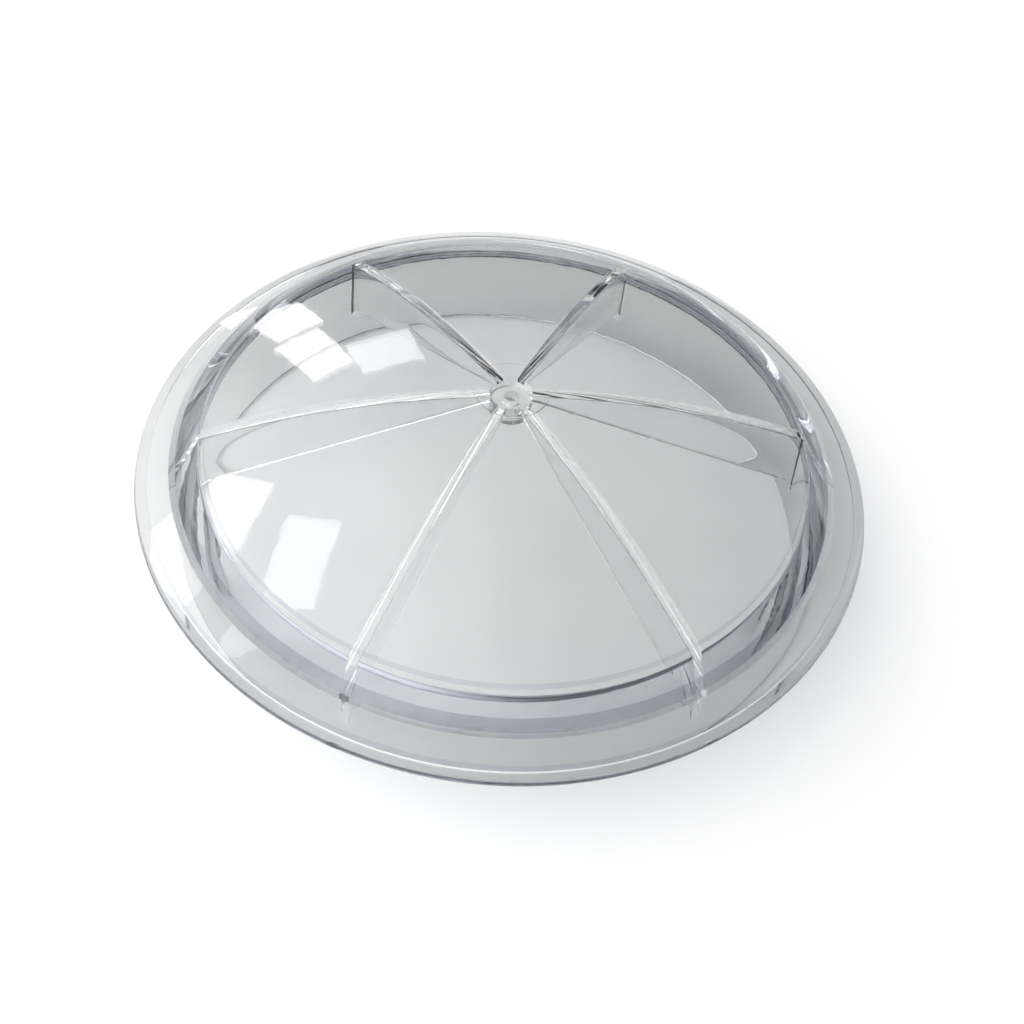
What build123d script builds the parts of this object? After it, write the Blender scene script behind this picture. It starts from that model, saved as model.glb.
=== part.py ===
from build123d import *
import os
from math import radians, sqrt, tan

# Clear round cover for a roof vent, convex side up.
# Millimetres, +Z up. The origin is the centre of the circle that the skirt's
# bottom edge lies in, so the cover stands on Z = 0. Rib 1 lies along +X.
# The real cover is one clear moulding. It is divided here at its own feature
# lines into rings, a cap, a boss and ribs, a bond line apart.

# ---- driving dimensions ----
BOND = 0.1                  # width of the bond line between two pieces
RIB_COUNT = 6

# Skirt: the spigot that drops into the vent's collar.
SKIRT_OUTER_R = 91.0
SKIRT_INNER_R_FOOT = 88.5
INNER_DRAFT_DEG = 4.2       # the inside narrows upwards
SKIRT_EDGE_ROUND = 0.8
NECK_R = 90.4               # the skirt's neck, inside the brim's bore
SEAT_RISE = 0.6             # height of the coned seat between spigot and neck

# Brim: a ring that slopes gently down to the rim.
BRIM_OUTER_R = 101.3
BRIM_TOP_SLOPE = 0.377      # fall per millimetre of radius
BRIM_EDGE_TOP_Z = 26.0
BRIM_EDGE_UNDER_Z = 23.0
BRIM_LAND_Z = 25.0          # flat land underneath, beside the skirt
BRIM_LAND_R = 93.5          # how far out the land reaches

# Rim: the brim's thicker, rounded outer edge, flat underneath.
RIM_OUTER_R = 105.0
RIM_UNDER_Z = 22.0
RIM_TOP_ROUND = 1.7
RIM_LOW_ROUND = 1.0

# Dome: a shallow spherical cap.
DOME_UNDER_Z = 50.4         # underside at the centre
DOME_UNDER_R = 224.0        # radius of the underside's sphere
DOME_THICKNESS = 2.5
DOME_EDGE_R = 84.8          # where the cap meets the shoulder
GATE_PAD_R = 10.5           # low round land on top, over the boss
GATE_PAD_RISE = 0.15        # above the dome's crown

# Shoulder: the solid, rounded ring that falls from the dome's edge to the brim.
SHOULDER_FOOT_R = 95.2
SHOULDER_FOOT_LIP = 0.3
SHOULDER_INNER_ROUND = 0.6

# Hub boss: a short round post under the crown, with a blind hole.
HUB_R = 6.0
HUB_FOOT_Z = 43.9
HUB_EDGE_ROUND = 0.5
HUB_HOLE_R = 2.1
HUB_HOLE_DEPTH = 4.5

# Ribs: webs under the dome, shallow at the hub and deep at the wall.
RIB_HUB_LOW_Z = 47.8        # lower edge where it meets the hub
RIB_WALL_LOW_Z = 14.0       # lower edge, carried on to the wall
RIB_TOE_Z = 9.6             # bottom of the toe that runs down the wall
RIB_TOE_REACH = 4.6         # how far in from the wall the toe starts
RIB_THICKNESS_HUB = 2.1
RIB_THICKNESS_WALL = 2.8
RIB_DRAFT_DEG = 0.6         # the sides lean together towards the lower edge
RIB_CORNER_ROUND = 2.2      # upper outer corner, clear of the inside round

# ---- worked out from the driving dimensions ----
DOME_CENTRE_Z = DOME_UNDER_Z - DOME_UNDER_R
DOME_OUTER_R = DOME_UNDER_R + DOME_THICKNESS
CROWN_Z = DOME_UNDER_Z + DOME_THICKNESS
BORE_R = NECK_R + BOND


def sphere_z(sphere_r, r):
    """Height of a sphere of the dome's centre at the distance r from the axis."""
    return DOME_CENTRE_Z + sqrt(sphere_r**2 - r**2)


def brim_top_z(r):
    """Height of the brim's sloping top, at the distance r from the axis."""
    return BRIM_EDGE_TOP_Z + BRIM_TOP_SLOPE * (BRIM_OUTER_R - r)


def inner_wall_r(z):
    """Radius of the drafted inner wall at the height z."""
    return SKIRT_INNER_R_FOOT - z * tan(radians(INNER_DRAFT_DEG))


def sphere_arc(sphere_r, r_start, r_end):
    """Arc of the dome's sphere in the XZ plane, between two distances from the axis."""
    r_middle = (r_start + r_end) / 2
    points = [(r, sphere_z(sphere_r, r)) for r in (r_start, r_middle, r_end)]
    return ThreePointArc(*points)


def near(shape, r, z):
    """The shape's vertex nearest to (r, z) in its own flat plane."""
    return shape.vertices().sort_by_distance((r, z, 0))[0]


def spin(face):
    """Turn a flat (radius, height) face about the Z axis."""
    return revolve(Plane.XZ * face, Axis.Z)


def skirt_ring():
    """The wall under the dome and the brim. The brim sits on the coned seat at the foot of its neck."""
    neck_top_z = brim_top_z(BORE_R)
    profile = make_face(Polyline(
        (SKIRT_INNER_R_FOOT, 0),
        (SKIRT_OUTER_R, 0),
        (SKIRT_OUTER_R, BRIM_LAND_Z),
        (NECK_R, BRIM_LAND_Z + SEAT_RISE),
        (NECK_R, neck_top_z),
        (inner_wall_r(neck_top_z), neck_top_z),
        close=True,
    ))
    edges = [near(profile, SKIRT_INNER_R_FOOT, 0), near(profile, SKIRT_OUTER_R, 0)]
    return spin(fillet(edges, SKIRT_EDGE_ROUND))


def brim_ring():
    return spin(make_face(Polyline(
        (SKIRT_OUTER_R + BOND, BRIM_LAND_Z),
        (BRIM_LAND_R, BRIM_LAND_Z),
        (BRIM_OUTER_R, BRIM_EDGE_UNDER_Z),
        (BRIM_OUTER_R, BRIM_EDGE_TOP_Z),
        (BORE_R, brim_top_z(BORE_R)),
        (BORE_R, BRIM_LAND_Z + SEAT_RISE),
        close=True,
    )))


def rim_bead():
    inner_r = BRIM_OUTER_R + BOND
    top_corner = (RIM_OUTER_R, brim_top_z(RIM_OUTER_R))
    profile = make_face(Polyline(
        (inner_r, RIM_UNDER_Z),
        (RIM_OUTER_R, RIM_UNDER_Z),
        top_corner,
        (inner_r, brim_top_z(inner_r)),
        close=True,
    ))
    profile = fillet(near(profile, *top_corner), RIM_TOP_ROUND)
    profile = fillet(near(profile, RIM_OUTER_R, RIM_UNDER_Z), RIM_LOW_ROUND)
    return spin(profile)


def shoulder_ring():
    """Its top runs on from the dome and bends down to the brim. Its underside lies on skirt and brim."""
    seam_r = DOME_EDGE_R + BOND
    seam_top = (seam_r, sphere_z(DOME_OUTER_R, seam_r))
    seam_under = (seam_r, sphere_z(DOME_UNDER_R, seam_r))
    slope = seam_r / (seam_top[1] - DOME_CENTRE_Z)
    inner_top_r = inner_wall_r(seam_under[1])
    inner_corner = (inner_top_r, seam_under[1] - slope * (inner_top_r - seam_r))
    neck_top_z = brim_top_z(BORE_R) + BOND
    foot_under = (SHOULDER_FOOT_R, brim_top_z(SHOULDER_FOOT_R) + BOND)
    foot_top = (SHOULDER_FOOT_R, foot_under[1] + SHOULDER_FOOT_LIP)
    outline = [
        TangentArc(seam_top, foot_top, tangent=(1, -slope)),
        Line(foot_top, foot_under),
        Line(foot_under, (BORE_R, neck_top_z)),
        Line((BORE_R, neck_top_z), (inner_wall_r(neck_top_z), neck_top_z)),
        Line((inner_wall_r(neck_top_z), neck_top_z), inner_corner),
        Line(inner_corner, seam_under),
        Line(seam_under, seam_top),
    ]
    profile = make_face(outline)
    return spin(fillet(near(profile, *inner_corner), SHOULDER_INNER_ROUND))


def dome_cap():
    pad_z = CROWN_Z + GATE_PAD_RISE
    edge_top_z = sphere_z(DOME_OUTER_R, DOME_EDGE_R)
    edge_under_z = sphere_z(DOME_UNDER_R, DOME_EDGE_R)
    outline = [
        Line((0, DOME_UNDER_Z), (0, pad_z)),
        Line((0, pad_z), (GATE_PAD_R, pad_z)),
        Line((GATE_PAD_R, pad_z), (GATE_PAD_R, sphere_z(DOME_OUTER_R, GATE_PAD_R))),
        sphere_arc(DOME_OUTER_R, GATE_PAD_R, DOME_EDGE_R),
        Line((DOME_EDGE_R, edge_top_z), (DOME_EDGE_R, edge_under_z)),
        sphere_arc(DOME_UNDER_R, DOME_EDGE_R, 0),
    ]
    return spin(make_face(outline))


def hub_boss():
    top_z = sphere_z(DOME_UNDER_R, HUB_R) - BOND
    post = extrude(Plane.XY.offset(HUB_FOOT_Z) * Circle(HUB_R), top_z - HUB_FOOT_Z)
    hole = extrude(Plane.XY.offset(HUB_FOOT_Z) * Circle(HUB_HOLE_R), HUB_HOLE_DEPTH)
    boss = post - hole
    foot_edges = boss.edges().filter_by(GeomType.CIRCLE).group_by(Axis.Z)[0].sort_by(SortBy.RADIUS)
    return fillet(foot_edges[-1], HUB_EDGE_ROUND)


def rib_side_view():
    """The rib's outline in the XZ plane, from the hub out to the inner wall."""
    hub_end = HUB_R + BOND
    sphere_r = DOME_UNDER_R - BOND
    top_corner_r = inner_wall_r(sphere_z(sphere_r, DOME_EDGE_R)) - BOND
    top_corner = (top_corner_r, sphere_z(sphere_r, top_corner_r))
    wall_low_r = inner_wall_r(RIB_WALL_LOW_Z) - BOND
    fall = (RIB_HUB_LOW_Z - RIB_WALL_LOW_Z) / (wall_low_r - hub_end)
    toe_start_r = wall_low_r - RIB_TOE_REACH
    toe_start = (toe_start_r, RIB_WALL_LOW_Z + fall * RIB_TOE_REACH)
    toe_end = (inner_wall_r(RIB_TOE_Z) - BOND, RIB_TOE_Z)
    outline = [
        Line((hub_end, RIB_HUB_LOW_Z), (hub_end, sphere_z(sphere_r, hub_end))),
        sphere_arc(sphere_r, hub_end, top_corner_r),
        Line(top_corner, toe_end),
        TangentArc(toe_start, toe_end, tangent=(1, -fall)),
        Line(toe_start, (hub_end, RIB_HUB_LOW_Z)),
    ]
    side = make_face(outline)
    return fillet(near(side, *top_corner), RIB_CORNER_ROUND)


def rib(number):
    """One web. In plan it widens towards the wall, and its sides carry draft."""
    slab = extrude(Plane.XZ * rib_side_view(), RIB_THICKNESS_WALL * 2, both=True)
    wall_top_z = sphere_z(DOME_UNDER_R, DOME_EDGE_R)
    half_hub = RIB_THICKNESS_HUB / 2
    half_wall = RIB_THICKNESS_WALL / 2 + (CROWN_Z - wall_top_z) * tan(radians(RIB_DRAFT_DEG))
    half_far = half_hub + (half_wall - half_hub) * RIM_OUTER_R / DOME_EDGE_R
    plan = make_face(Polyline(
        (0, -half_hub), (RIM_OUTER_R, -half_far), (RIM_OUTER_R, half_far), (0, half_hub), close=True,
    ))
    wedge = extrude(Plane.XY.offset(CROWN_Z) * plan, -CROWN_Z, taper=RIB_DRAFT_DEG)
    web = slab & wedge
    return Rot(0, 0, 360 / RIB_COUNT * (number - 1)) * web


# ---- build and write ----
pieces = {
    "dome_cap": dome_cap(),
    "shoulder_ring": shoulder_ring(),
    "skirt_ring": skirt_ring(),
    "brim_ring": brim_ring(),
    "rim_bead": rim_bead(),
    "hub_boss": hub_boss(),
}
for number in range(1, RIB_COUNT + 1):
    pieces[f"rib_{number}"] = rib(number)

os.makedirs("parts", exist_ok=True)
for name, piece in pieces.items():
    export_step(piece, f"parts/{name}.step")
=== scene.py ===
from math import asin, cos, pi, radians, sin, sqrt, tan

import bmesh
import bpy
from mathutils import Matrix, Vector


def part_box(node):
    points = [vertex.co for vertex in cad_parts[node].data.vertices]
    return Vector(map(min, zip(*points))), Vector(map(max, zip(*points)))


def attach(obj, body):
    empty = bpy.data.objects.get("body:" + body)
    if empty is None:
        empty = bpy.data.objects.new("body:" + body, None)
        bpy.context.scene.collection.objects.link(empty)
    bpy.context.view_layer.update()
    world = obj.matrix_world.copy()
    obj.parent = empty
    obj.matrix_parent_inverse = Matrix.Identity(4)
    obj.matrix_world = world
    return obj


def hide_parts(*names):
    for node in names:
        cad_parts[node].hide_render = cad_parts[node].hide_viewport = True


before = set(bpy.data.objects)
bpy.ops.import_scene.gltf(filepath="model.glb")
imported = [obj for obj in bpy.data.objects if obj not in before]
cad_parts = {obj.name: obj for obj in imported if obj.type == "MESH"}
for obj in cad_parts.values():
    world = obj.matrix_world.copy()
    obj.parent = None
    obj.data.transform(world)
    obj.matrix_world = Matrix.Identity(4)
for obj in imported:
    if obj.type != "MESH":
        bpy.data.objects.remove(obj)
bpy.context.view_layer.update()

# A clear round roof vent cover, one moulding divided into twelve pieces.
# Everything is in metres, in the row frame: +Z up, rib 1 along +X.
MM = 0.001

# ---- sizes read from the frame ----
RIM_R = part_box("rim_bead")[1].x
RIM_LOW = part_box("rim_bead")[0].z
DOME_SEAM_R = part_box("dome_cap")[1].x
CROWN_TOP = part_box("dome_cap")[1].z
SKIRT_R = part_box("skirt_ring")[1].x
NECK_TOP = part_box("skirt_ring")[1].z
SHOULDER_FOOT_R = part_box("shoulder_ring")[1].x
HUB_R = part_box("hub_boss")[1].x
HUB_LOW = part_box("hub_boss")[0].z
RIB_TOE_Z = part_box("rib_1")[0].z

# ---- the moulding's other sizes, as in the CAD ----
DOME_UNDER_R = 224.0 * MM
DOME_THICKNESS = 2.5 * MM
GATE_PAD_R = 10.5 * MM
GATE_PAD_RISE = 0.15 * MM
INNER_FOOT_R = 88.5 * MM
INNER_DRAFT = tan(radians(4.2))
SKIRT_ROUND = 0.8 * MM
NECK_R = 90.4 * MM
SEAT_RISE = 0.6 * MM
BRIM_OUTER_R = 101.3 * MM
BRIM_TOP_SLOPE = 0.377
BRIM_EDGE_TOP = 26.0 * MM
BRIM_EDGE_UNDER = 23.0 * MM
BRIM_LAND_Z = 25.0 * MM
BRIM_LAND_R = 93.5 * MM
RIM_TOP_ROUND = 1.7 * MM
RIM_LOW_ROUND = 1.0 * MM
SHOULDER_LIP = 0.3 * MM
SHOULDER_INNER_ROUND = 0.6 * MM
HUB_ROUND = 0.5 * MM
HUB_HOLE_R = 2.1 * MM
HUB_HOLE_DEPTH = 4.5 * MM
RIB_HUB_LOW_Z = 47.8 * MM
RIB_WALL_LOW_Z = 14.0 * MM
RIB_TOE_REACH = 4.6 * MM
RIB_HALF_HUB = 1.05 * MM
RIB_HALF_WALL = 1.4 * MM
RIB_DRAFT = tan(radians(0.6))

# ---- fine shapes that the CAD leaves out ----
RIB_ROOT_ROUND = 0.5 * MM   # where a rib runs into the dome and the wall
RIB_EDGE_ROUND = 0.8 * MM   # along a rib's lower edge
RIB_EDGE_LEAST = 0.02 * MM  # the same, at the hub
ROUNDS_GROW = 4 * MM        # both rounds grow to their full size over this distance from the hub
ROOT_SHARE = 0.4            # the most of a rib's depth that the root's round takes
EDGE_SHARE = 0.45           # the most of a rib's depth that the edge's round takes
TOE_SHARE = 0.985           # how much of the toe's arc is made before it closes flat on the wall
HOLE_LEAD = 0.3 * MM        # lead-in at the hub hole's mouth
PAD_EDGE = 0.15 * MM        # rounding of the gate pad's edge
PAD_FLAT_INSET = 0.2 * MM   # where the pad's flat ends, short of that rounding

CROWN = CROWN_TOP - GATE_PAD_RISE
DOME_CENTRE = CROWN - DOME_THICKNESS - DOME_UNDER_R
DOME_OUTER_R = DOME_UNDER_R + DOME_THICKNESS

# ---- how finely the meshes are divided ----
RIBS = 6
BAY_STEPS = 56              # divisions round the wall between two ribs
DOME_STEPS = 30             # divisions from the hub out to the dome's edge
WALL_STEP = 1.6 * MM
SHOULDER_STEPS = 16
SKIRT_STEPS = 6
STRAIGHT_STEPS = 3          # short straight stretches
FLAT_STEPS = 4              # the pad's flat, the wall's foot and the hub's hole
ARC_STEPS = 8
SMALL_ARC_STEPS = 6
RIB_ARC_STEPS = 4
PAD_ARC_STEPS = 3
SHARP_EDGE = radians(28)
LEAST_STEP = 1e-7           # keeps points of a section apart where a round has no size

# Material slots of every piece: outer faces, joints with ribs, joints between rings, the joint at
# the neck, and the skirt's foot. The joints between rings and at the neck carry painted shade.
GLASS, BOND, WELD, NECK, FOOT = 0, 1, 2, 3, 4


def dome_z(sphere_r, r):
    """Height of the dome's outer or inner sphere, at the distance r from the axis."""
    return DOME_CENTRE + sqrt(sphere_r**2 - r**2)


def brim_top(r):
    """Height of the brim's sloping top."""
    return BRIM_EDGE_TOP + BRIM_TOP_SLOPE * (BRIM_OUTER_R - r)


def inner_r(z):
    """Radius of the drafted inner wall."""
    return INNER_FOOT_R - z * INNER_DRAFT


def rib_half(x, z):
    """Half the rib's thickness at a place in its own plane. Its sides are flat, with draft."""
    wall_top = dome_z(DOME_UNDER_R, DOME_SEAM_R)
    half_wall = RIB_HALF_WALL + (CROWN - wall_top) * RIB_DRAFT
    return RIB_HALF_HUB + (half_wall - RIB_HALF_HUB) * x / DOME_SEAM_R - (CROWN - z) * RIB_DRAFT


def spread(start, end, steps):
    """Evenly spaced values from start to end, with both."""
    return [start + (end - start) * i / steps for i in range(steps + 1)]


def rounded(before, corner, after, radius, steps=ARC_STEPS):
    """Points of the arc that rounds off a corner between two straight runs, in a flat plane."""
    a = (Vector(before) - Vector(corner)).normalized()
    b = (Vector(after) - Vector(corner)).normalized()
    half = a.angle(b) / 2
    middle = Vector(corner) + (a + b).normalized() * radius / sin(half)
    start = Vector(corner) + a * radius / tan(half) - middle
    turn = (pi - 2 * half) * (1 if a.x * b.y - a.y * b.x < 0 else -1)
    return [tuple(middle + Matrix.Rotation(turn * i / steps, 2) @ start) for i in range(steps + 1)]


def tangent_arc(start, slope, end, shares):
    """Points at these shares of the arc that leaves start on a downward slope and reaches end."""
    start, end = Vector(start), Vector(end)
    run = Vector((1, -slope)).normalized()
    chord = end - start
    turn = 2 * run.angle(chord)
    middle = start + Vector((run.y, -run.x)) * chord.length / (2 * sin(turn / 2))
    return [middle + Matrix.Rotation(-turn * share, 2) @ (start - middle) for share in shares]


# ---- the interior line, from the hub out under the dome and down the wall ----
def interior():
    """Points (radius, height) of each stretch. Every piece that meets inside shares them."""
    seam_z = dome_z(DOME_UNDER_R, DOME_SEAM_R)
    slope = DOME_SEAM_R / (seam_z - DOME_CENTRE)
    top_r = inner_r(seam_z)
    corner = (top_r, seam_z - slope * (top_r - DOME_SEAM_R))
    bend = rounded((DOME_SEAM_R, seam_z), corner, (inner_r(0), 0), SHOULDER_INNER_ROUND, SMALL_ARC_STEPS)
    dome = [(r, dome_z(DOME_UNDER_R, r)) for r in spread(HUB_R, DOME_SEAM_R, DOME_STEPS)]
    upper = [(inner_r(z), z) for z in spread(bend[-1][1], NECK_TOP, STRAIGHT_STEPS)[1:]]
    toe = RIB_TOE_Z + RIB_ROOT_ROUND / 2
    count = round((NECK_TOP - toe) / WALL_STEP)
    lower = [(inner_r(z), z) for z in spread(NECK_TOP, toe, count)[1:]]
    foot = [(inner_r(z), z) for z in spread(toe, SKIRT_ROUND * 2, FLAT_STEPS)[1:]]
    return {"dome": dome, "bend": bend, "upper": upper, "lower": lower, "foot": foot}


LINE = interior()


def footprint_half(r, z, root):
    """Half the width of a rib's footprint on the interior, at radius r and height z."""
    x = r
    for _ in range(4):      # settles at once, because x hardly differs from r
        half = rib_half(x, z) + root
        x = sqrt(r**2 - half**2)
    return half


def rounds_grown(r):
    """How much of its full size a rib's rounds have at radius r."""
    return min(1, (r - HUB_R) / ROUNDS_GROW)


def root_round(r):
    """The rib's root rounding fades out towards the hub."""
    share = rounds_grown(r)
    return RIB_ROOT_ROUND * share * share * (3 - 2 * share)


# ---- pieces made of rings ----
def ring(r, z, half):
    """Points round the axis: for each rib its footprint's two edges, then the bay to the next rib."""
    edge = asin(half / r)
    bay = 2 * pi / RIBS
    angles = []
    for rib_number in range(RIBS):
        middle = bay * rib_number
        angles.append(middle - edge)
        angles += spread(middle + edge, middle + bay - edge, BAY_STEPS)[:-1]
    return [(r * cos(angle), r * sin(angle), z) for angle in angles]


def inside_ring(r, z):
    """Inner surfaces leave each rib its footprint, with the rounding at its root."""
    return ring(r, z, footprint_half(r, z, root_round(r)))


def outside_ring(r, z):
    """Outer surfaces keep the spacing of the dome's edge."""
    seam_half = footprint_half(DOME_SEAM_R, dome_z(DOME_UNDER_R, DOME_SEAM_R), RIB_ROOT_ROUND)
    return ring(r, z, seam_half * r / DOME_SEAM_R)


def is_strip(step):
    """True for the step of a ring that crosses a rib's footprint."""
    return step % (BAY_STEPS + 1) == 0


def build(name, node, rings, bands, poles=(), closed=True):
    """A piece from rings of equal count. bands gives each gap's material, or a pair for bay and strip."""
    count = len(rings[0])
    points = [point for one in rings for point in one]
    faces, kinds = [], []
    gaps = len(rings) if closed else len(rings) - 1
    for gap in range(gaps):
        low, high = gap * count, (gap + 1) % len(rings) * count
        band = bands[gap]
        for step in range(count):
            after = (step + 1) % count
            faces.append((low + step, low + after, high + after, high + step))
            kinds.append(band if isinstance(band, int) else band[is_strip(step)])
    for ring_index, height, kind in poles:
        base = ring_index * count
        points.append((0, 0, height))
        tip = len(points) - 1
        for step in range(count):
            faces.append((base + step, base + (step + 1) % count, tip))
            kinds.append(kind)
    return piece(name, node, points, faces, kinds)


def piece(name, node, points, faces, kinds):
    """Makes the mesh, turns its faces outwards, shades it smooth between sharp edges, and places it."""
    mesh = bpy.data.meshes.new(name)
    mesh.from_pydata(points, [], faces)
    mesh.polygons.foreach_set("material_index", kinds)
    mesh.validate()
    shell = bmesh.new()
    shell.from_mesh(mesh)
    bmesh.ops.recalc_face_normals(shell, faces=shell.faces)
    shell.to_mesh(mesh)
    shell.free()
    mesh.shade_smooth()
    mesh.set_sharp_from_angle(angle=SHARP_EDGE)
    obj = bpy.data.objects.new(name, mesh)
    bpy.context.scene.collection.objects.link(obj)
    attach(obj, "root")
    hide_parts(node)
    return obj


def dome_cap():
    """The shallow cap, with its gate pad on top. The ribs' footprints are open to the ribs."""
    pad_corner, pad_foot = (GATE_PAD_R, CROWN_TOP), (GATE_PAD_R, dome_z(DOME_OUTER_R, GATE_PAD_R))
    outer = [(r, CROWN_TOP) for r in spread(HUB_R / 3, GATE_PAD_R - PAD_FLAT_INSET, FLAT_STEPS)]
    outer += rounded((0, CROWN_TOP), pad_corner, pad_foot, PAD_EDGE, PAD_ARC_STEPS)[1:]
    outer += [(r, dome_z(DOME_OUTER_R, r)) for r in spread(GATE_PAD_R, DOME_SEAM_R, DOME_STEPS)]
    rings = [outside_ring(r, z) for r, z in outer]
    bands = [GLASS] * (len(outer) - 1) + [WELD]
    rings += [inside_ring(r, z) for r, z in reversed(LINE["dome"])]
    bands += [(GLASS, BOND)] * (len(LINE["dome"]) - 1)
    poles = [(0, CROWN_TOP, GLASS), (len(rings) - 1, dome_z(DOME_UNDER_R, 0), BOND)]
    return build("clear_dome", "dome_cap", rings, bands, poles, closed=False)


def shoulder_ring():
    """The solid ring whose top runs on from the dome and bends down to the brim."""
    seam_top = (DOME_SEAM_R, dome_z(DOME_OUTER_R, DOME_SEAM_R))
    slope = DOME_SEAM_R / (seam_top[1] - DOME_CENTRE)
    foot_z = brim_top(SHOULDER_FOOT_R)
    foot_top = (SHOULDER_FOOT_R, foot_z + SHOULDER_LIP)
    outer = tangent_arc(seam_top, slope, foot_top, spread(0, 1, SHOULDER_STEPS))
    rings = [outside_ring(r, z) for r, z in outer]
    bands = [GLASS] * len(outer)
    rings += [outside_ring(SHOULDER_FOOT_R, foot_z), outside_ring(NECK_R, NECK_TOP)]
    bands += [WELD, WELD]
    inner = list(reversed(LINE["bend"] + LINE["upper"])) + [LINE["dome"][-1]]
    rings += [inside_ring(r, z) for r, z in inner]
    bands += [(GLASS, BOND)] * (len(inner) - 1) + [WELD]
    return build("clear_shoulder", "shoulder_ring", rings, bands)


def skirt_ring():
    """The wall below, with a rounded foot."""
    foot_in, foot_out = (INNER_FOOT_R, 0), (SKIRT_R, 0)
    neck_top_in = LINE["upper"][-1]
    rings = [
        inside_ring(*neck_top_in),
        outside_ring(NECK_R, NECK_TOP),
        outside_ring(NECK_R, BRIM_LAND_Z + SEAT_RISE),
    ]
    bands = [WELD, NECK, NECK]
    side = [(SKIRT_R, z) for z in spread(BRIM_LAND_Z, SKIRT_ROUND * 2, SKIRT_STEPS)]
    bands += [GLASS] * len(side)
    foot = rounded((SKIRT_R, BRIM_LAND_Z), foot_out, foot_in, SKIRT_ROUND, SMALL_ARC_STEPS)
    foot += rounded(foot_out, foot_in, neck_top_in, SKIRT_ROUND, SMALL_ARC_STEPS)
    bands += [FOOT] * (len(foot) - 1) + [GLASS]
    rings += [outside_ring(r, z) for r, z in side + foot]
    inner_foot = list(reversed(LINE["foot"]))
    rings += [inside_ring(r, z) for r, z in inner_foot]
    bands += [GLASS] * len(inner_foot)
    inner = list(reversed(LINE["lower"]))
    rings += [inside_ring(r, z) for r, z in inner]
    bands += [(GLASS, BOND)] * len(inner)
    return build("clear_skirt", "skirt_ring", rings, bands)


def brim_ring():
    """The sloping ring. Each point of its outline names the material of the face that follows."""
    outline = [
        (NECK_R, NECK_TOP, NECK),
        (NECK_R, BRIM_LAND_Z + SEAT_RISE, NECK),
        (SKIRT_R, BRIM_LAND_Z, GLASS),
        (BRIM_LAND_R, BRIM_LAND_Z, GLASS),
        (BRIM_OUTER_R, BRIM_EDGE_UNDER, WELD),
        (BRIM_OUTER_R, BRIM_EDGE_TOP, GLASS),
        (SHOULDER_FOOT_R, brim_top(SHOULDER_FOOT_R), WELD),
    ]
    rings = [outside_ring(r, z) for r, z, _ in outline]
    return build("clear_brim", "brim_ring", rings, [kind for _, _, kind in outline])


def rim_bead():
    """The brim's rounded outer edge."""
    low_in, low_out = (BRIM_OUTER_R, RIM_LOW), (RIM_R, RIM_LOW)
    top_in, top_out = (BRIM_OUTER_R, BRIM_EDGE_TOP), (RIM_R, brim_top(RIM_R))
    outline = [(BRIM_OUTER_R, BRIM_EDGE_UNDER), low_in]
    outline += rounded(low_in, low_out, top_out, RIM_LOW_ROUND)
    outline += rounded(low_out, top_out, top_in, RIM_TOP_ROUND)
    outline.append(top_in)
    rings = [outside_ring(r, z) for r, z in outline]
    return build("clear_rim", "rim_bead", rings, [GLASS] * (len(outline) - 1) + [WELD])


def hub_boss():
    """The round post under the crown, with its blind hole."""
    top = LINE["dome"][0][1]
    hole_top = HUB_LOW + HUB_HOLE_DEPTH
    joined = [(HUB_R, z) for z in spread(top, RIB_HUB_LOW_Z, STRAIGHT_STEPS)]
    free = [(HUB_R, z) for z in spread(RIB_HUB_LOW_Z, HUB_LOW + 2 * HUB_ROUND, STRAIGHT_STEPS)[1:]]
    free += rounded(joined[0], (HUB_R, HUB_LOW), (0, HUB_LOW), HUB_ROUND, SMALL_ARC_STEPS)
    hole = [(HUB_HOLE_R + HOLE_LEAD, HUB_LOW), (HUB_HOLE_R, HUB_LOW + HOLE_LEAD)]
    hole += [(HUB_HOLE_R, z) for z in spread(HUB_LOW + 2 * HOLE_LEAD, hole_top, FLAT_STEPS)]
    hole.append((HUB_HOLE_R / 2, hole_top))
    rings = [inside_ring(r, z) for r, z in joined + free]
    rings += [ring(r, z, RIB_HALF_HUB * r / HUB_R) for r, z in hole]
    bands = [(GLASS, BOND)] * (len(joined) - 1) + [GLASS] * (len(free) + len(hole))
    poles = [(0, dome_z(DOME_UNDER_R, 0), BOND), (len(rings) - 1, hole_top, GLASS)]
    return build("clear_hub", "hub_boss", rings, bands, poles, closed=False)


# ---- ribs ----
def rib_lower_line(run_count, toe_count):
    """The rib's lower edge: a straight run from the hub, then the toe's arc down to the wall."""
    wall_low_r = inner_r(RIB_WALL_LOW_Z)
    fall = (RIB_HUB_LOW_Z - RIB_WALL_LOW_Z) / (wall_low_r - HUB_R)
    toe_start = Vector((wall_low_r - RIB_TOE_REACH, RIB_WALL_LOW_Z + fall * RIB_TOE_REACH))
    toe_end = (inner_r(RIB_TOE_Z), RIB_TOE_Z)
    hub_end = Vector((HUB_R, RIB_HUB_LOW_Z))
    run = [hub_end.lerp(toe_start, share) for share in spread(0, 1, run_count - 1)]
    return run + tangent_arc(toe_start, fall, toe_end, spread(0, TOE_SHARE, toe_count)[1:])


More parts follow.
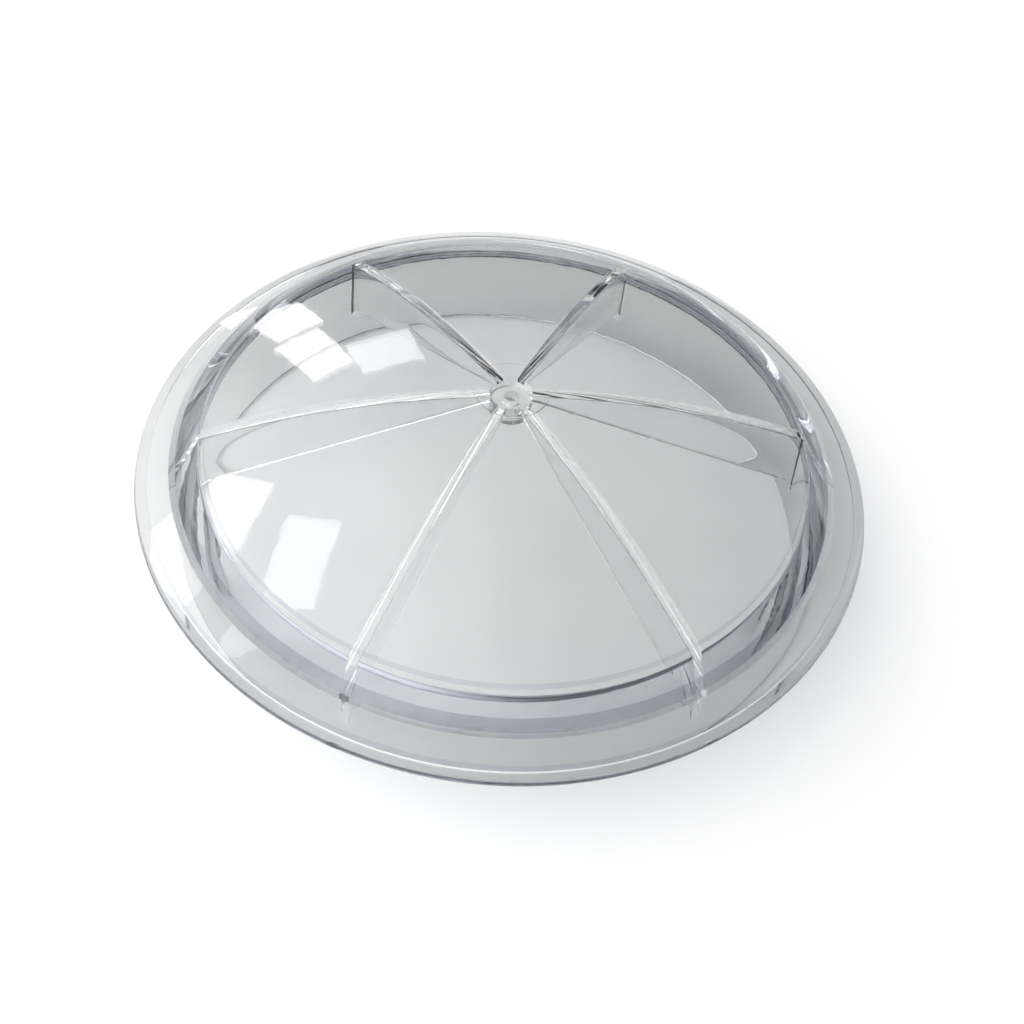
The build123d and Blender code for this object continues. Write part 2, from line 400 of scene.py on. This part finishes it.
def rib_section(r, z, low):
    """A cut across the rib, from its footprint at (r, z) down one side to low and up the other."""
    half = footprint_half(r, z, root_round(r))
    top = Vector((sqrt(r**2 - half**2), z))
    down = low - top
    depth = down.length
    root = min(root_round(r), ROOT_SHARE * depth)
    edge = min(RIB_EDGE_ROUND * rounds_grown(r) + RIB_EDGE_LEAST, EDGE_SHARE * depth)
    quarter = spread(0, pi / 2, RIB_ARC_STEPS)
    side = [(top.x, half, top.y)]

    def add(below, wider=0, narrowed=1):
        place = top + down * (below / depth)
        side.append((place.x, rib_half(place.x, place.y) * narrowed + wider, place.y))

    for turn in quarter[1:]:
        add(max(root * (1 - cos(turn)), LEAST_STEP), wider=root * (1 - sin(turn)))
    for below in spread(root, depth - edge, STRAIGHT_STEPS)[1:]:
        add(below)
    for turn in quarter[1:-1]:
        add(depth - edge * (1 - sin(turn)), narrowed=cos(turn))
    return side + [(low.x, 0, low.y)] + [(x, -y, height) for x, y, height in reversed(side)]


def rib(number):
    """One web, from the hub out under the dome and down the wall. Its joined faces are BOND."""
    wall = LINE["bend"] + LINE["upper"] + LINE["lower"]
    upper = LINE["dome"] + wall
    lower = rib_lower_line(len(LINE["dome"]), len(wall))
    sections = [rib_section(r, z, low) for (r, z), low in zip(upper, lower)]
    turn = Matrix.Rotation(2 * pi / RIBS * (number - 1), 3, "Z")
    points = [tuple(turn @ Vector(point)) for one in sections for point in one]
    count = len(sections[0])
    faces, kinds = [], []
    for index in range(len(sections) - 1):
        low, high = index * count, (index + 1) * count
        for step in range(count):
            after = (step + 1) % count
            faces.append((low + step, low + after, high + after, high + step))
            kinds.append(BOND if step == count - 1 else GLASS)
    last = (len(sections) - 1) * count
    faces.append(tuple(range(count)))
    kinds.append(BOND)
    faces.append(tuple(reversed(range(last, last + count))))
    kinds.append(GLASS)
    return piece(f"clear_rib_{number}", f"rib_{number}", points, faces, kinds)


# ---- materials ----
# The plastic's colours, and the tint of lamp light through each face, are tuned.
DOME_LIGHT = (0.655, 0.663, 0.665)    # what a lamp keeps through each face of dome, shoulder and hub
WALL_LIGHT = (0.95, 0.955, 0.955)     # the same for skirt, brim, rim and ribs
TINT_PALE = (0.785, 0.792, 0.792)
TINT_DEEP = (0.755, 0.762, 0.763)
# The ribs' plastic is paler than the rest: painted light, a lit copy of the same plastic, since the real
# cover is one moulding.
RIB_PAINTED_LIGHT_PALE = (0.955, 0.96, 0.96)
RIB_PAINTED_LIGHT_DEEP = (0.93, 0.935, 0.935)
RIB_JOINT_TINT = (1, 1, 1)            # joined faces: what the view through them keeps
# The ring and neck joint tints are painted shade: they darken what is seen through faces inside what is
# really one solid plastic.
RING_JOINT_PAINTED_SHADE = (0.85, 0.86, 0.90)
NECK_JOINT_PAINTED_SHADE = (0.66, 0.67, 0.71)
PLASTIC_IOR = 1.49

TINT_CLOUDS = 30                      # noise scales, in features per metre
TINT_FROM, TINT_TO = 0.35, 0.65       # the stretch of the noise that is used
HAZE_CLOUDS = 55
HAZE_DETAIL = 4.0
HAZE_FROM, HAZE_TO = 0.45, 0.75
HAZE_ROUGHNESS = 0.012
MOULD_WAVES = 110
MOULD_WAVE_DEPTH = 0.03 * MM
SCRATCH_ROUGHNESS = 0.06
SCRATCH_DEPTH = 0.008 * MM
SCRATCH_STRENGTH = 0.5
SCRATCH_DETAIL = 1.0
SCRATCH_FROM, SCRATCH_TO = 0.70, 0.78     # only the noise's peaks are scratches
SCRATCHES = (90, (1, 26, 26), 0.6)        # scale, how far the noise is squeezed, and its turn
CROSSING_SCRATCHES = (80, (24, 1, 24), 0.2)

FLOOR_SIZE = 60
FLOOR_GAP = 0.2 * MM                  # the floor lies just below the skirt's foot
FLOOR_GREY = 0.9
FLOOR_ROUGHNESS = 0.7


def ranged(tree, source, start, end, low, high, ease="LINEAR"):
    """A value that goes from low to high while its source goes from start to end."""
    step = tree.nodes.new("ShaderNodeMapRange")
    step.interpolation_type = ease
    for socket, value in (("From Min", start), ("From Max", end), ("To Min", low), ("To Max", high)):
        step.inputs[socket].default_value = value
    tree.links.new(source, step.inputs["Value"])
    return step.outputs[0]


def noise(tree, place, per_metre, detail=2.0, stretch=(1, 1, 1), turn=0.0):
    """Cloudy noise laid over the object. Stretched, it makes fine streaks."""
    mapping = tree.nodes.new("ShaderNodeMapping")
    mapping.inputs["Scale"].default_value = stretch
    mapping.inputs["Rotation"].default_value = (0, 0, turn)
    tree.links.new(place, mapping.inputs["Vector"])
    cloud = tree.nodes.new("ShaderNodeTexNoise")
    cloud.inputs["Scale"].default_value = per_metre
    cloud.inputs["Detail"].default_value = detail
    tree.links.new(mapping.outputs[0], cloud.inputs["Vector"])
    return cloud.outputs[0]


def hairlines(tree, place):
    """Fine scratches in two directions: 1 on a scratch and 0 beside it."""
    lines = tree.nodes.new("ShaderNodeMath")
    lines.operation = "MAXIMUM"
    for socket, (per_metre, stretch, turn) in enumerate((SCRATCHES, CROSSING_SCRATCHES)):
        streaks = noise(tree, place, per_metre, SCRATCH_DETAIL, stretch, turn)
        tree.links.new(streaks, lines.inputs[socket])
    return ranged(tree, lines.outputs[0], SCRATCH_FROM, SCRATCH_TO, 0, 1)


def tint_clouds(tree, shader, place, pale, deep):
    """A slight, cloudy change of colour from pale to deep."""
    tint = tree.nodes.new("ShaderNodeMix")
    tint.data_type = "RGBA"
    tint.inputs["A"].default_value = (*pale, 1)
    tint.inputs["B"].default_value = (*deep, 1)
    clouds = ranged(tree, noise(tree, place, TINT_CLOUDS), TINT_FROM, TINT_TO, 0, 1)
    tree.links.new(clouds, tint.inputs["Factor"])
    tree.links.new(tint.outputs["Result"], shader.inputs["Base Color"])


def haze_and_scratches(tree, shader, place, scratches):
    """Roughness: a thin haze in patches, and more along each scratch."""
    clouds = noise(tree, place, HAZE_CLOUDS, HAZE_DETAIL)
    haze = ranged(tree, clouds, HAZE_FROM, HAZE_TO, 0, HAZE_ROUGHNESS)
    rough = tree.nodes.new("ShaderNodeMath")
    rough.operation = "MULTIPLY_ADD"
    rough.inputs[1].default_value = SCRATCH_ROUGHNESS
    tree.links.new(scratches, rough.inputs[0])
    tree.links.new(haze, rough.inputs[2])
    tree.links.new(rough.outputs[0], shader.inputs["Roughness"])


def relief(tree, shader, place, scratches):
    """Faint waves from the mould, with the scratches cut into them."""
    waves = tree.nodes.new("ShaderNodeBump")
    waves.inputs["Strength"].default_value = 1
    waves.inputs["Distance"].default_value = MOULD_WAVE_DEPTH
    tree.links.new(noise(tree, place, MOULD_WAVES), waves.inputs["Height"])
    marks = tree.nodes.new("ShaderNodeBump")
    marks.invert = True
    marks.inputs["Strength"].default_value = SCRATCH_STRENGTH
    marks.inputs["Distance"].default_value = SCRATCH_DEPTH
    tree.links.new(scratches, marks.inputs["Height"])
    tree.links.new(waves.outputs[0], marks.inputs["Normal"])
    tree.links.new(marks.outputs[0], shader.inputs["Normal"])


def transparent(tree, tint):
    """Lets light straight through, tinted."""
    clear = tree.nodes.new("ShaderNodeBsdfTransparent")
    clear.inputs["Color"].default_value = (*tint, 1)
    return clear.outputs[0]


def passes_light(tree, shader, light_tint):
    """Lamps light what is under the plastic, tinted."""
    path = tree.nodes.new("ShaderNodeLightPath")
    mix = tree.nodes.new("ShaderNodeMixShader")
    tree.links.new(path.outputs["Is Shadow Ray"], mix.inputs[0])
    tree.links.new(shader.outputs[0], mix.inputs[1])
    tree.links.new(transparent(tree, light_tint), mix.inputs[2])
    tree.links.new(mix.outputs[0], tree.nodes["Material Output"].inputs["Surface"])


def new_material(name):
    material = bpy.data.materials.new(name)
    material.use_nodes = True
    return material


def clear_plastic(name, pale, deep, light_tint=None):
    """Clear moulded plastic. With a light tint, lamps shine straight through it."""
    material = new_material(name)
    tree = material.node_tree
    shader = tree.nodes["Principled BSDF"]
    place = tree.nodes.new("ShaderNodeTexCoord").outputs["Object"]
    scratches = hairlines(tree, place)
    tint_clouds(tree, shader, place, pale, deep)
    haze_and_scratches(tree, shader, place, scratches)
    relief(tree, shader, place, scratches)
    shader.inputs["Transmission Weight"].default_value = 1
    shader.inputs["IOR"].default_value = PLASTIC_IOR
    if light_tint:
        passes_light(tree, shader, light_tint)
    return material


def joint(name, tint):
    """Joined faces inside the plastic: nothing bends or mirrors light, and a tint may darken the view
    through them as painted shade.
    """
    material = new_material(name)
    tree = material.node_tree
    tree.nodes.remove(tree.nodes["Principled BSDF"])
    tree.links.new(transparent(tree, tint), tree.nodes["Material Output"].inputs["Surface"])
    return material


def floor_paint():
    material = new_material("floor_paint")
    shader = material.node_tree.nodes["Principled BSDF"]
    shader.inputs["Base Color"].default_value = (FLOOR_GREY, FLOOR_GREY, FLOOR_GREY, 1)
    shader.inputs["Roughness"].default_value = FLOOR_ROUGHNESS
    return material


# ---- the pieces, with their slots in the order of GLASS, BOND, WELD, NECK and FOOT ----
dome_plastic = clear_plastic("clear_plastic", TINT_PALE, TINT_DEEP, DOME_LIGHT)
wall_plastic = clear_plastic("clear_plastic_wall", TINT_PALE, TINT_DEEP, WALL_LIGHT)
# painted light: the ribs get a paler copy of the plastic
rib_plastic_painted_light = clear_plastic("clear_plastic_rib_painted_light", RIB_PAINTED_LIGHT_PALE, RIB_PAINTED_LIGHT_DEEP, WALL_LIGHT)
inner_slots = [
    joint("rib_joint", RIB_JOINT_TINT),
    # painted shade: the ring and neck joints darken what is seen through them
    joint("ring_joint_painted_shade", RING_JOINT_PAINTED_SHADE),
    joint("neck_joint_painted_shade", NECK_JOINT_PAINTED_SHADE),
    clear_plastic("clear_plastic_foot", TINT_PALE, TINT_DEEP),
]
pieces = [
    (dome_cap(), dome_plastic),
    (shoulder_ring(), dome_plastic),
    (skirt_ring(), wall_plastic),
    (brim_ring(), wall_plastic),
    (rim_bead(), wall_plastic),
    (hub_boss(), dome_plastic),
]
pieces += [(rib(number), rib_plastic_painted_light) for number in range(1, RIBS + 1)]
for obj, outside in pieces:
    for material in [outside] + inner_slots:
        obj.data.materials.append(material)

# ---- floor ----
bpy.ops.mesh.primitive_plane_add(size=FLOOR_SIZE, location=(0, 0, -FLOOR_GAP))
floor = bpy.context.object
floor.name = "floor"
floor.data.materials.append(floor_paint())

# ---- camera ----
ELEVATION, ROLL, AZIMUTH = radians(47.58), radians(6.31), radians(-8.5)
DISTANCE = 3.84 * RIM_R
TARGET = Vector((0, 0, 23.3 * MM))
SENSOR_WIDTH, FOCAL_LENGTH = 36, 48.63    # in millimetres, as Blender takes them
SHIFT_X, SHIFT_Y = 0.0075, -0.049         # framing


def place_camera():
    """Looks down on the cover from the front, with the picture rolled a little to one side."""
    back = Vector((0, -cos(ELEVATION), sin(ELEVATION)))
    across = Vector((1, 0, 0))
    up = Vector((0, sin(ELEVATION), cos(ELEVATION)))
    right = across * cos(ROLL) + up * sin(ROLL)
    upright = up * cos(ROLL) - across * sin(ROLL)
    turn = Matrix.Rotation(AZIMUTH, 3, "Z")
    pose = Matrix((turn @ right, turn @ upright, turn @ back)).transposed().to_4x4()
    pose.translation = TARGET + turn @ back * DISTANCE
    lens = bpy.data.cameras.new("camera")
    lens.sensor_width = SENSOR_WIDTH
    lens.lens = FOCAL_LENGTH
    lens.shift_x = SHIFT_X
    lens.shift_y = SHIFT_Y
    camera = bpy.data.objects.new("camera", lens)
    bpy.context.scene.collection.objects.link(camera)
    camera.matrix_world = pose
    bpy.context.scene.camera = camera


place_camera()

# ---- light ----
# The room's brightness rises with height, between these sines of elevation.
ROOM_FROM, ROOM_TO = 0.05, 0.80
ROOM_LOW, ROOM_HIGH = 0.05, 0.42
# The glow's brightness falls off with the cosine of the angle from its middle.
GLOW_ELEVATION, GLOW_AZIMUTH = 32, 200
GLOW_FROM, GLOW_TO = 0.25, 0.85
GLOW = 1.92
BACKDROP = 1.0             # what the camera itself sees past the floor's edge
PANE_DISTANCE = 1.2
# Each window pane: elevation, azimuth, width and height in degrees, then brightness.
PANES = {
    "window_back_low": (14.5, 120.3, 6.5, 10, 4.5),
    "window_back_high": (27, 121.5, 6.5, 13, 4.5),
    "window_back_far": (33, 112, 9, 9, 3),
    "window_left_low": (41, 159, 15, 11, 3.5),
    "window_left_high": (57, 168, 16, 9.5, 3.2),
}


def facing(elevation, azimuth):
    """Direction seen from the object, in degrees. Azimuths are counted from the camera's right."""
    e, a = radians(elevation), radians(azimuth) + AZIMUTH
    return Vector((cos(e) * cos(a), cos(e) * sin(a), sin(e)))


def studio():
    """A soft white room, dim near the floor, with a broad pale glow on the left."""
    world = bpy.data.worlds.new("studio")
    bpy.context.scene.world = world
    world.use_nodes = True
    tree = world.node_tree
    nodes, links = tree.nodes, tree.links
    place = nodes.new("ShaderNodeTexCoord").outputs["Generated"]
    parts = nodes.new("ShaderNodeSeparateXYZ")
    links.new(place, parts.inputs[0])
    room = ranged(tree, parts.outputs["Z"], ROOM_FROM, ROOM_TO, ROOM_LOW, ROOM_HIGH, "SMOOTHSTEP")
    towards = nodes.new("ShaderNodeVectorMath")
    towards.operation = "DOT_PRODUCT"
    towards.inputs[1].default_value = facing(GLOW_ELEVATION, GLOW_AZIMUTH)
    links.new(place, towards.inputs[0])
    glow = ranged(tree, towards.outputs["Value"], GLOW_FROM, GLOW_TO, 0, GLOW, "SMOOTHSTEP")
    strength = nodes.new("ShaderNodeMath")
    strength.operation = "ADD"
    links.new(room, strength.inputs[0])
    links.new(glow, strength.inputs[1])
    backdrop = nodes.new("ShaderNodeMix")
    backdrop.inputs["B"].default_value = BACKDROP
    links.new(nodes.new("ShaderNodeLightPath").outputs["Is Camera Ray"], backdrop.inputs["Factor"])
    links.new(strength.outputs[0], backdrop.inputs["A"])
    nodes["Background"].inputs["Color"].default_value = (1, 1, 1, 1)
    links.new(backdrop.outputs["Result"], nodes["Background"].inputs["Strength"])


def pane(name, elevation, azimuth, wide, tall, radiance):
    """A window pane of light that faces the object."""
    light = bpy.data.lights.new(name, "AREA")
    light.shape = "RECTANGLE"
    light.size = PANE_DISTANCE * radians(wide)
    light.size_y = PANE_DISTANCE * radians(tall)
    light.energy = radiance * pi * light.size * light.size_y
    obj = bpy.data.objects.new(name, light)
    bpy.context.scene.collection.objects.link(obj)
    towards = facing(elevation, azimuth)
    obj.location = towards * PANE_DISTANCE
    obj.rotation_euler = (-towards).to_track_quat("-Z", "Y").to_euler()


studio()
for name, view_and_brightness in PANES.items():
    pane(name, *view_and_brightness)

bpy.context.scene.view_settings.view_transform = "Standard"
# Light crosses many faces of clear plastic before it leaves.
cycles = bpy.context.scene.cycles
cycles.max_bounces = 40
cycles.glossy_bounces = 14
cycles.transmission_bounces = 32
cycles.transparent_max_bounces = 64
